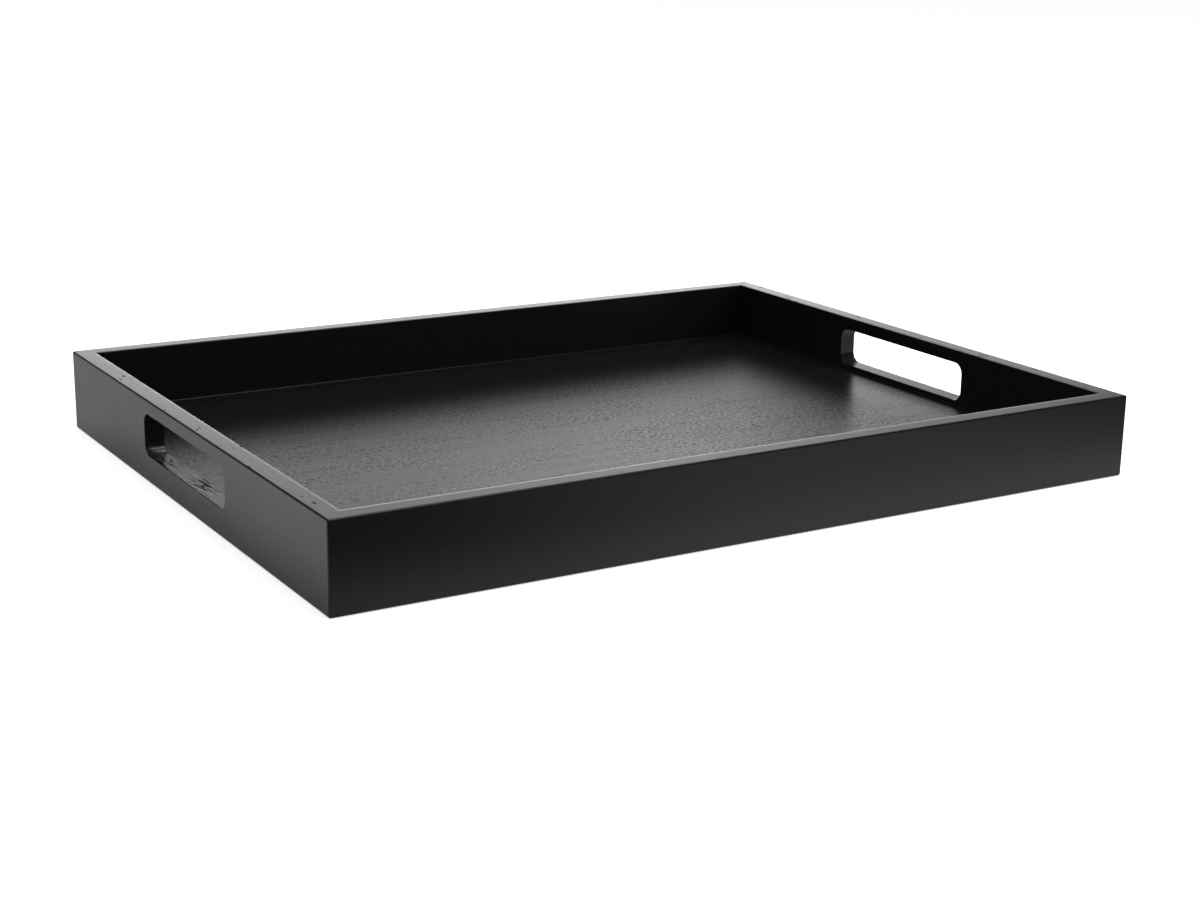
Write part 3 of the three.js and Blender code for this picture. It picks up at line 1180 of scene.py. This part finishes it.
@dataclass
class Studio:
    """A white table, soft lamps, and dark curtains with bright windows that only reflections see."""

    floor_size: float = 24.0
    floor_drop: float = 0.3 * MM
    floor_white: float = 0.9
    floor_lift: float = 0.6
    ambient: float = 0.42
    lamps: tuple[Softbox, ...] = (
        Softbox("overhead_softbox", power=19.0, size=(2.2, 1.6), place=(0.0, 0.35, 2.1)),
        Softbox("side_softbox", power=26.0, size=(0.8, 0.8), place=(1.5, -0.35, 1.1), reflected=False),
        Softbox("front_softbox", power=5.0, size=(0.5, 0.5), place=(0.62, -1.15, 1.9)),
    )
    wall_radius: float = 3.0
    wall_height: float = 5.0
    wall_segments: int = 96
    curtain_glow: float = 0.07
    windows: tuple[SoftWindow, ...] = (
        SoftWindow(0.48, left=(19.0, 40.0), right=(47.5, 55.5), top=(1.4, 2.0), bottom=(0.3, 0.95)),
        SoftWindow(3.75, left=(3.0, 15.0), right=(47.5, 58.0), top=(0.25, 0.56), bottom=(-0.05, 0.15)),
        SoftWindow(1.78, left=(-12.0, 4.5), right=(31.8, 46.0), top=(0.05, 1.78)),
    )
    card: TableCard = TableCard()

    def build(self) -> None:
        """Builds the world, the floor, the lamps, the curtains and the card of painted table light and
        shadow.
        """
        self.light_world()
        self.lay_floor()
        for lamp in self.lamps:
            lamp.hang()
        self.hang_curtains()
        self.lay_card()

    @staticmethod
    def seen_rays(wires: Wiring) -> Socket:
        """Tells the rays that show the background from those that light the object.

        Args:
            wires: The shader that asks.

        Returns:
            A socket that is 1 for camera, glossy and transmission rays.
        """
        rays = wires.add("LightPath")
        seen = wires.math("MAXIMUM", rays["Is Camera Ray"], rays["Is Glossy Ray"])
        return wires.math("MAXIMUM", seen, rays["Is Transmission Ray"])

    def light_world(self) -> None:
        """A white surround for the camera and reflections, with a lower even light on the object."""
        world = bpy.data.worlds.new("studio")
        bpy.context.scene.world = world
        wires = Wiring.cleared(world)
        even = wires.add("Background", tone(1.0), self.ambient)[0]
        surround = wires.add("Background", tone(1.0), 1.0)[0]
        mixed = wires.add("MixShader", self.seen_rays(wires), even, surround)[0]
        wires.add("OutputWorld", mixed)

    @staticmethod
    def set_up(name: str, corners: list[Triple], faces: list[tuple], material: Material) -> Thing:
        """Puts up a thing of the stage.

        Args:
            name: Its name.
            corners: Its corners.
            faces: The corners of each of its faces, by number.
            material: Its finish.

        Returns:
            The new object.
        """
        mesh = bpy.data.meshes.new(name)
        mesh.from_pydata(corners, [], faces)
        mesh.materials.append(material)
        thing = in_scene(name, mesh)
        thing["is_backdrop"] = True
        return thing

    def lay_sheet(self, name: str, height: float, material: Material) -> Thing:
        """Lays a square sheet as wide as the floor.

        Args:
            name: Its name.
            height: Its height.
            material: Its finish.

        Returns:
            The new object.
        """
        half = self.floor_size / 2
        square = ((-half, -half), (half, -half), (half, half), (-half, half))
        return self.set_up(name, [(x, y, height) for x, y in square], [(0, 1, 2, 3)], material)

    @staticmethod
    def only_reflected(thing: Thing) -> None:
        """Keeps a thing of the stage out of everything but reflections."""
        for rays in ("camera", "diffuse", "transmission", "shadow"):
            setattr(thing, f"visible_{rays}", False)

    def lay_floor(self) -> None:
        """The white table that takes the tray's shadow. From below it is clear, to show the underside."""
        material, wires = new_material("white_table")
        matt = wires.add("BsdfDiffuse", tone(self.floor_white))[0]
        lift = wires.product(self.seen_rays(wires), self.floor_lift)
        glow = wires.add("Emission", tone(1.0), lift)[0]
        lit = wires.add("AddShader", matt, glow)[0]
        clear = wires.add("BsdfTransparent")[0]
        below = wires.add("NewGeometry")["Backfacing"]
        mixed = wires.add("MixShader", below, lit, clear)[0]
        wires.add("OutputMaterial", mixed)
        self.lay_sheet("floor", -self.floor_drop, material)

    def hang_curtains(self) -> None:
        """The round wall that reflections see: soft windows behind the tray, dark curtains elsewhere."""
        material, wires = new_material("curtains")
        axes = wires.object_axes()
        heading = wires.math("DEGREES", wires.math("ARCTAN2", axes["X"], axes["Y"]))
        lights = [window.light(wires, heading, axes["Z"]) for window in self.windows]
        glow = wires.total(self.curtain_glow, *lights)
        shine = wires.add("Emission", tone(1.0), glow)[0]
        wires.add("OutputMaterial", shine)
        corners, faces = [], []
        for index in range(self.wall_segments):
            turn = 2 * math.pi * index / self.wall_segments
            x, y = self.wall_radius * math.sin(turn), self.wall_radius * math.cos(turn)
            corners += [(x, y, 0.0), (x, y, self.wall_height)]
            near, far = 2 * index, 2 * ((index + 1) % self.wall_segments)
            faces.append((near, far, far + 1, near + 1))
        self.only_reflected(self.set_up("curtains", corners, faces, material))

    def lay_card(self) -> None:
        """Lays the card of painted table light and painted shadow just over the floor, for reflections
        alone.
        """
        self.only_reflected(self.lay_sheet("table_card", -self.floor_drop / 2, self.card.make()))


@dataclass
class PhotoCamera:
    """The photograph's camera: its place, its turn, and its focal length in the photograph's pixels."""

    place: Triple = (-0.62489, -1.04834, 0.34355)
    azimuth: float = math.radians(-31.258)
    elevation: float = math.radians(15.699)
    roll: float = math.radians(0.926)
    image_width: float = 1200
    focal_pixels: float = 2032.2
    sensor_width: float = 36.0

    def build(self) -> None:
        """Makes the camera and gives it to the scene."""
        data = bpy.data.cameras.new("photo_camera")
        data.sensor_fit = "HORIZONTAL"
        data.sensor_width = self.sensor_width
        data.lens = self.focal_pixels / self.image_width * self.sensor_width
        turned = Matrix.Translation(self.place)
        tilt = QUARTER_TURN - self.elevation
        for angle, axis in ((self.azimuth, "Z"), (tilt, "X"), (self.roll, "Z")):
            turned = turned @ Matrix.Rotation(angle, 4, axis)
        camera = in_scene("photo_camera", data)
        camera.matrix_world = turned
        bpy.context.scene.camera = camera


def write_sizes() -> None:
    """Works out the box of the solids and the box of the dressed tray, without keeping them."""
    boxes = {"cad": CAD_BOX, "visual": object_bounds()}
    {name: [list(corner) for corner in box] for name, box in boxes.items()}


def main() -> None:
    """Builds the camera, the studio and the tray."""
    logging.basicConfig(level=logging.INFO, format="%(name)s: %(message)s")
    bpy.context.scene.view_settings.view_transform = "Standard"
    PhotoCamera().build()
    Studio().build()
    effects = Effects()
    for assembly in (RailFrame(), BasePanel(), CornerJoints()):
        assembly.build(effects)
    write_sizes()


if __name__ == "__main__":
    main()
